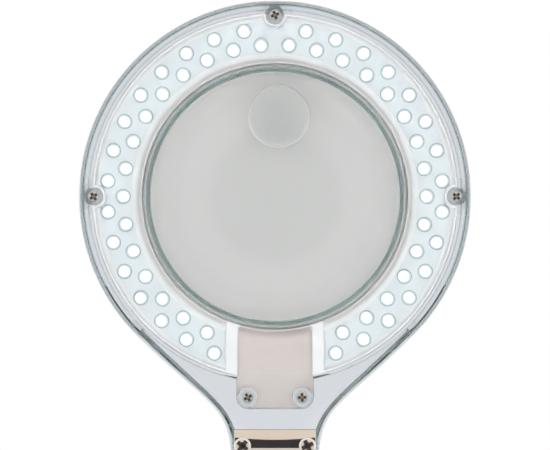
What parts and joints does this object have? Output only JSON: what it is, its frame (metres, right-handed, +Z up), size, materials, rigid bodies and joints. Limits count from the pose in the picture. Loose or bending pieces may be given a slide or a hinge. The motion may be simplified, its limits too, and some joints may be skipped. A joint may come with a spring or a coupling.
{
  "type": "magnifying lamp",
  "caption": "Ring magnifying lamp with a clear lit head and hinged dust cover, on a jointed friction arm and a weighted round base.",
  "frame": {"origin": "centre of the rubber pad's underside", "axes": "+Z up the lamp, -Y the side that the head's light faces at rest, +X to the right seen from there"},
  "size_m": [0.1912, 0.1921, 0.5933],
  "materials": {
    "clear_plastic": "clear, polished",
    "lens_glass": "polished optical glass",
    "white_plastic": "satin",
    "led_board_white": "white solder mask with lit LEDs",
    "pale_plate": "satin",
    "grey_plastic": "fine grain",
    "chrome_plate": "bright plated",
    "steel": "zinc plated",
    "white_paint": "powder coat",
    "cast_iron": "raw casting",
    "rubber": "matt",
    "black_plastic": "satin",
    "nylon": "natural nylon",
    "circuit_board": "solder mask"
  },
  "bodies": {
    "base": {"base_cover": "white_paint", "base_weight": "cast_iron", "base_pad": "rubber", "base_screw_1": "steel", "base_screw_2": "steel", "base_screw_3": "steel", "switch_bezel": "black_plastic", "dc_inlet": "black_plastic", "driver_board": "circuit_board"},
    "rocker": {"switch_rocker": "black_plastic"},
    "turret": {"base_turret": "chrome_plate", "swivel_stud": "steel", "swivel_washer": "nylon", "swivel_spring_washer": "steel", "swivel_nut": "steel", "shoulder_bolt": "chrome_plate", "shoulder_washer": "steel"},
    "shoulder_handle": {"shoulder_knob": "black_plastic"},
    "lower_arm": {"lower_arm_tube": "white_paint", "lower_arm_bottom_plug": "chrome_plate", "lower_arm_bottom_pin": "steel", "lower_arm_top_plug": "chrome_plate", "lower_arm_top_pin": "steel"},
    "upper_arm": {"upper_arm_tube": "white_paint", "upper_arm_bottom_plug": "chrome_plate", "upper_arm_bottom_pin": "steel", "upper_arm_top_plug": "chrome_plate", "upper_arm_top_pin": "steel", "elbow_bolt": "chrome_plate", "elbow_washer": "steel"},
    "elbow_handle": {"elbow_knob": "black_plastic"},
    "knuckle": {"tilt_knuckle": "chrome_plate", "stem_washer": "nylon", "stem_set_screw": "steel", "tilt_bolt": "chrome_plate", "tilt_washer": "steel"},
    "tilt_handle": {"tilt_knob": "black_plastic"},
    "head": {"head_housing": "clear_plastic", "front_cover": "clear_plastic", "lens": "lens_glass", "inset_lens": "lens_glass", "lens_gasket": "white_plastic", "led_board": "led_board_white", "reflector_frame": "white_plastic", "neck_plate": "pale_plate", "cover_screw_top": "steel", "cover_screw_left": "steel", "cover_screw_right": "steel", "neck_screw_left": "steel", "neck_screw_right": "steel", "lens_cover_pin": "steel", "neck_bracket": "chrome_plate", "bracket_screw_left": "chrome_plate", "bracket_screw_right": "chrome_plate", "swivel_stem": "chrome_plate"},
    "dust_cover": {"lens_cover": "grey_plastic"}
  },
  "joints": [
    {"name": "base_swivel", "type": "hinge", "parent": "base", "child": "turret", "pos_m": [0, 0, 0.028], "axis": [0, 0, 1], "range_deg": [-170, 170]},
    {"name": "shoulder", "type": "hinge", "parent": "turret", "child": "lower_arm", "pos_m": [0, 0, 0.062], "axis": [1, 0, 0], "range_deg": [-40, 70]},
    {"name": "elbow", "type": "hinge", "parent": "lower_arm", "child": "upper_arm", "pos_m": [0, 0.08604, 0.18487], "axis": [-1, 0, 0], "range_deg": [-40, 70]},
    {"name": "head_tilt", "type": "hinge", "parent": "upper_arm", "child": "knuckle", "pos_m": [0, 0, 0.30775], "axis": [1, 0, 0], "range_deg": [-60, 110]},
    {"name": "head_turn", "type": "hinge", "parent": "knuckle", "child": "head", "pos_m": [0, 0, 0.33775], "axis": [0, 0, 1], "range_deg": [-90, 90]},
    {"name": "lens_cover_hinge", "type": "hinge", "parent": "head", "child": "dust_cover", "pos_m": [0, 0.01995, 0.42125], "axis": [-1, 0, 0], "range_deg": [0, 110]},
    {"name": "power_rocker", "type": "hinge", "parent": "base", "child": "rocker", "pos_m": [0, -0.055, 0.0275], "axis": [1, 0, 0], "range_deg": [0, 12]},
    {"name": "shoulder_knob_turn", "type": "hinge", "parent": "turret", "child": "shoulder_handle", "pos_m": [0, 0, 0.062], "axis": [1, 0, 0], "range_deg": [-270, 0]},
    {"name": "elbow_knob_turn", "type": "hinge", "parent": "upper_arm", "child": "elbow_handle", "pos_m": [0, 0.08604, 0.18487], "axis": [1, 0, 0], "range_deg": [-270, 0]},
    {"name": "tilt_knob_turn", "type": "hinge", "parent": "knuckle", "child": "tilt_handle", "pos_m": [0, 0, 0.30775], "axis": [1, 0, 0], "range_deg": [-270, 0]}
  ]
}
